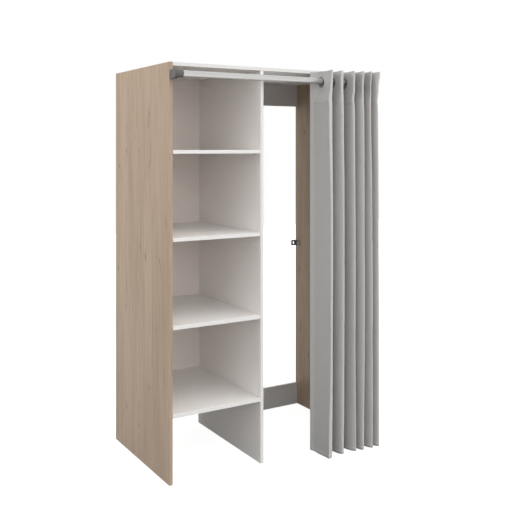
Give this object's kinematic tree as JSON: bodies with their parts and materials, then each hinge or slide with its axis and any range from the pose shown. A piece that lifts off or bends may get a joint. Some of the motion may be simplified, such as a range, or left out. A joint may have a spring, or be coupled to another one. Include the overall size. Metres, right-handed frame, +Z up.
{
  "type": "curtain wardrobe",
  "caption": "Open wardrobe with a shelved bay and a hanging bay, and a grey eyelet curtain that draws along a front rod.",
  "frame": {"origin": "on the floor, at the centre of the box round the whole wardrobe with its bunched curtain", "axes": "+Z up, +Y to the back, +X to the wardrobe's right seen from the front"},
  "size_m": [1.082, 0.7512, 1.8],
  "materials": {
    "oak_decor": "matt light oak decor on chipboard, vertical grain",
    "white_decor": "matt white melamine on chipboard",
    "hardboard": "white painted hardboard",
    "shelf_pin": "nickel-plated",
    "screw_steel": "zinc-plated",
    "rod_tube": "satin light grey",
    "bracket_plastic": "fine-grained dark grey",
    "tie_steel": "dark passivated",
    "eyelet_metal": "satin nickel",
    "curtain_cloth": "plain grey woven polyester"
  },
  "bodies": {
    "root": {"left_side_panel": "oak_decor", "partition": "white_decor", "right_side_panel": "oak_decor", "top_panel": "white_decor", "bottom_shelf": "white_decor", "shelf_1": "white_decor", "shelf_2": "white_decor", "shelf_3": "white_decor", "back_panel": "hardboard", "lower_rear_rail": "white_decor", "upper_rear_rail": "white_decor", "shelf_pin_1_left_front": "shelf_pin", "shelf_pin_1_right_front": "shelf_pin", "shelf_pin_1_left_rear": "shelf_pin", "shelf_pin_1_right_rear": "shelf_pin", "shelf_pin_2_left_front": "shelf_pin", "shelf_pin_2_right_front": "shelf_pin", "shelf_pin_2_left_rear": "shelf_pin", "shelf_pin_2_right_rear": "shelf_pin", "shelf_pin_3_left_front": "shelf_pin", "shelf_pin_3_right_front": "shelf_pin", "shelf_pin_3_left_rear": "shelf_pin", "shelf_pin_3_right_rear": "shelf_pin", "curtain_rod": "rod_tube", "left_rod_bracket": "bracket_plastic", "right_rod_bracket": "bracket_plastic", "left_rod_bracket_screw_upper": "screw_steel", "left_rod_bracket_screw_lower": "screw_steel", "right_rod_bracket_screw_upper": "screw_steel", "right_rod_bracket_screw_lower": "screw_steel", "wall_tie_screw": "screw_steel", "wall_tie_bracket": "tie_steel"},
    "curtain_01": {"curtain_cloth_01": "curtain_cloth", "eyelet_01": "eyelet_metal"},
    "curtain_02": {"curtain_cloth_02": "curtain_cloth", "eyelet_02": "eyelet_metal"},
    "curtain_03": {"curtain_cloth_03": "curtain_cloth", "eyelet_03": "eyelet_metal"},
    "curtain_04": {"curtain_cloth_04": "curtain_cloth", "eyelet_04": "eyelet_metal"},
    "curtain_05": {"curtain_cloth_05": "curtain_cloth", "eyelet_05": "eyelet_metal"},
    "curtain_06": {"curtain_cloth_06": "curtain_cloth", "eyelet_06": "eyelet_metal"},
    "curtain_07": {"curtain_cloth_07": "curtain_cloth", "eyelet_07": "eyelet_metal"},
    "curtain_08": {"curtain_cloth_08": "curtain_cloth", "eyelet_08": "eyelet_metal"},
    "curtain_09": {"curtain_cloth_09": "curtain_cloth", "eyelet_09": "eyelet_metal"},
    "curtain_10": {"curtain_cloth_10": "curtain_cloth", "eyelet_10": "eyelet_metal"},
    "curtain_11": {"curtain_cloth_11": "curtain_cloth", "eyelet_11": "eyelet_metal"},
    "curtain_12": {"curtain_cloth_12": "curtain_cloth", "eyelet_12": "eyelet_metal"}
  },
  "joints": [
    {"name": "curtain_draw", "type": "slide", "parent": "root", "child": "curtain_01", "axis": [-1, 0, 0], "range_m": [0, 0.682]},
    {"name": "curtain_spread_02", "type": "slide", "parent": "curtain_01", "child": "curtain_02", "axis": [1, 0, 0], "range_m": [0, 0.062]},
    {"name": "curtain_spread_03", "type": "slide", "parent": "curtain_02", "child": "curtain_03", "axis": [1, 0, 0], "range_m": [0, 0.062]},
    {"name": "curtain_spread_04", "type": "slide", "parent": "curtain_03", "child": "curtain_04", "axis": [1, 0, 0], "range_m": [0, 0.062]},
    {"name": "curtain_spread_05", "type": "slide", "parent": "curtain_04", "child": "curtain_05", "axis": [1, 0, 0], "range_m": [0, 0.062]},
    {"name": "curtain_spread_06", "type": "slide", "parent": "curtain_05", "child": "curtain_06", "axis": [1, 0, 0], "range_m": [0, 0.062]},
    {"name": "curtain_spread_07", "type": "slide", "parent": "curtain_06", "child": "curtain_07", "axis": [1, 0, 0], "range_m": [0, 0.062]},
    {"name": "curtain_spread_08", "type": "slide", "parent": "curtain_07", "child": "curtain_08", "axis": [1, 0, 0], "range_m": [0, 0.062]},
    {"name": "curtain_spread_09", "type": "slide", "parent": "curtain_08", "child": "curtain_09", "axis": [1, 0, 0], "range_m": [0, 0.062]},
    {"name": "curtain_spread_10", "type": "slide", "parent": "curtain_09", "child": "curtain_10", "axis": [1, 0, 0], "range_m": [0, 0.062]},
    {"name": "curtain_spread_11", "type": "slide", "parent": "curtain_10", "child": "curtain_11", "axis": [1, 0, 0], "range_m": [0, 0.062]},
    {"name": "curtain_spread_12", "type": "slide", "parent": "curtain_11", "child": "curtain_12", "axis": [1, 0, 0], "range_m": [0, 0.062]}
  ],
  "couplings": [
    {"joint": "curtain_spread_02", "follows": "curtain_draw", "ratio": 0.090909},
    {"joint": "curtain_spread_03", "follows": "curtain_draw", "ratio": 0.090909},
    {"joint": "curtain_spread_04", "follows": "curtain_draw", "ratio": 0.090909},
    {"joint": "curtain_spread_05", "follows": "curtain_draw", "ratio": 0.090909},
    {"joint": "curtain_spread_06", "follows": "curtain_draw", "ratio": 0.090909},
    {"joint": "curtain_spread_07", "follows": "curtain_draw", "ratio": 0.090909},
    {"joint": "curtain_spread_08", "follows": "curtain_draw", "ratio": 0.090909},
    {"joint": "curtain_spread_09", "follows": "curtain_draw", "ratio": 0.090909},
    {"joint": "curtain_spread_10", "follows": "curtain_draw", "ratio": 0.090909},
    {"joint": "curtain_spread_11", "follows": "curtain_draw", "ratio": 0.090909},
    {"joint": "curtain_spread_12", "follows": "curtain_draw", "ratio": 0.090909}
  ]
}
